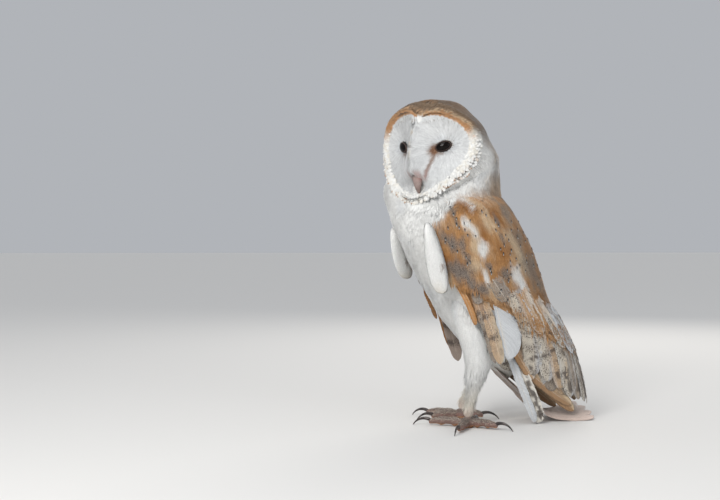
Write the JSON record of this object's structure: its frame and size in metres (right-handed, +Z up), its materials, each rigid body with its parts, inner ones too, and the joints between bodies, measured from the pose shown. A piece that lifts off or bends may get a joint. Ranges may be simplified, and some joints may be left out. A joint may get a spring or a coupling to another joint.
{
  "type": "barn owl",
  "caption": "Life-size still barn owl standing upright on both feet, wings folded, tail tip on the floor, head turned to its left.",
  "frame": {"origin": "on the floor, under the centre of the owl's bounding box", "axes": "+Z up; the body faces -Y; the owl's left is +X"},
  "size_m": [0.1248, 0.2042, 0.3014],
  "materials": {
    "feather_white": "silky white body feathers",
    "feather_face": "fine white face feathers with a rust stain from the eyes to the bill",
    "feather_crown": "gold and grey, finely speckled",
    "feather_golden": "golden buff with grey patches and small black and white drops",
    "feather_flight": "buff with dark bars",
    "feather_tail": "pale with faint bars",
    "bill_horn": "pale pinkish horn",
    "claw_horn": "dark horn with a soft shine",
    "toe_skin": "scaly skin with sparse bristles",
    "eye_black": "near-black, wet"
  },
  "bodies": {
    "root": {"bill_lower": "bill_horn", "bill_upper": "bill_horn", "claw_hind_left": "claw_horn", "claw_hind_right": "claw_horn", "claw_inner_left": "claw_horn", "claw_inner_right": "claw_horn", "claw_middle_left": "claw_horn", "claw_middle_right": "claw_horn", "claw_outer_left": "claw_horn", "claw_outer_right": "claw_horn", "eye_left": "eye_black", "eye_right": "eye_black", "facial_disc": "feather_face", "foot_left": "toe_skin", "foot_right": "toe_skin", "head": "feather_crown", "neck": "feather_white", "tail": "feather_tail", "tarsus_left": "feather_white", "tarsus_right": "feather_white", "thigh_left": "feather_white", "thigh_right": "feather_white", "toe_hind_left": "toe_skin", "toe_hind_right": "toe_skin", "toe_inner_left": "toe_skin", "toe_inner_right": "toe_skin", "toe_middle_left": "toe_skin", "toe_middle_right": "toe_skin", "toe_outer_left": "toe_skin", "toe_outer_right": "toe_skin", "trunk": "feather_white", "wing_coverts_left": "feather_golden", "wing_coverts_right": "feather_golden", "wing_hanging_primary_left": "feather_tail", "wing_hanging_secondary_right": "feather_flight", "wing_primaries_left": "feather_flight", "wing_primaries_right": "feather_flight", "wing_scapulars_left": "feather_golden", "wing_scapulars_right": "feather_golden", "wing_secondaries_left": "feather_flight", "wing_secondaries_right": "feather_flight", "wing_wrist_left": "feather_white", "wing_wrist_right": "feather_white"}
  },
  "joints": []
}
